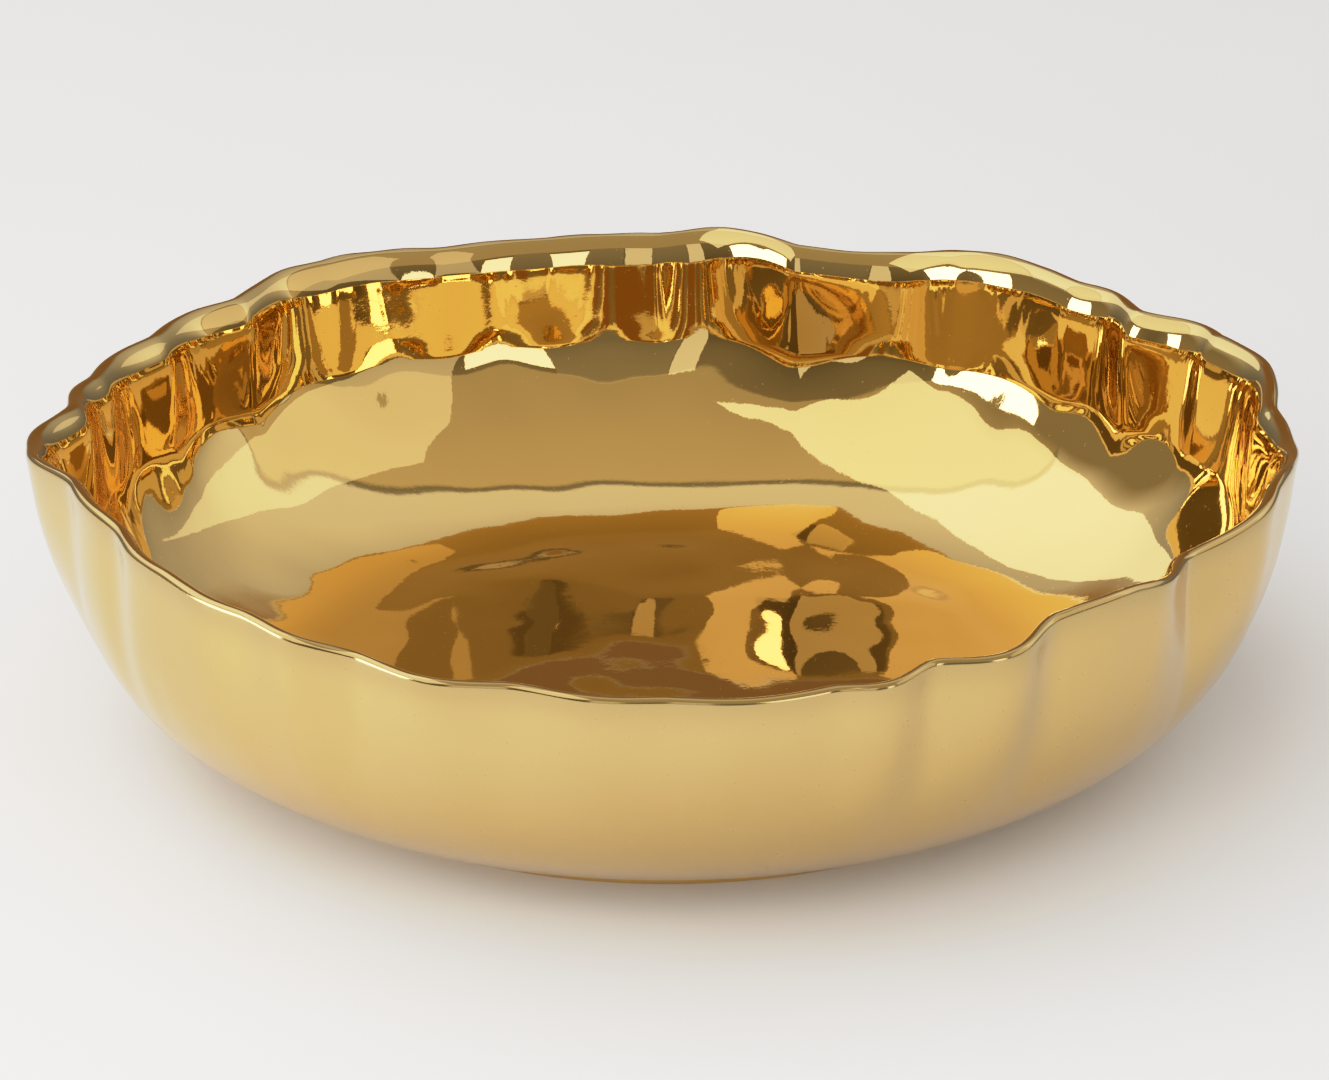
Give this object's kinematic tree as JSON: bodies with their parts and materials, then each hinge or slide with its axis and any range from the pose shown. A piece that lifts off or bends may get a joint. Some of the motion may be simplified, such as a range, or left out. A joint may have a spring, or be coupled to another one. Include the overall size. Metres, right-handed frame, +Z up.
{
  "type": "urli bowl",
  "caption": "Wide shallow metal bowl with an irregular lobed wall and flared wavy rim, standing on a low foot ring; holds water, flowers or food.",
  "frame": {"origin": "centre of the circle the foot ring stands on", "axes": "+Z up through the mouth of the bowl; -Y towards the side with the soft lobes, +X towards the side with the sharp notch in the rim"},
  "size_m": [0.4009, 0.405, 0.103],
  "materials": {
    "polished_brass": "mirror polished, faint hammering, slightly hazier outside than inside",
    "turned_brass": "turned and polished, fine circular tool marks",
    "braze": "satin, as brazed and cleaned"
  },
  "bodies": {
    "root": {"bowl_shell": "polished_brass", "foot_ring": "turned_brass", "outer_braze_bead": "braze", "inner_braze_bead": "braze"}
  },
  "joints": []
}
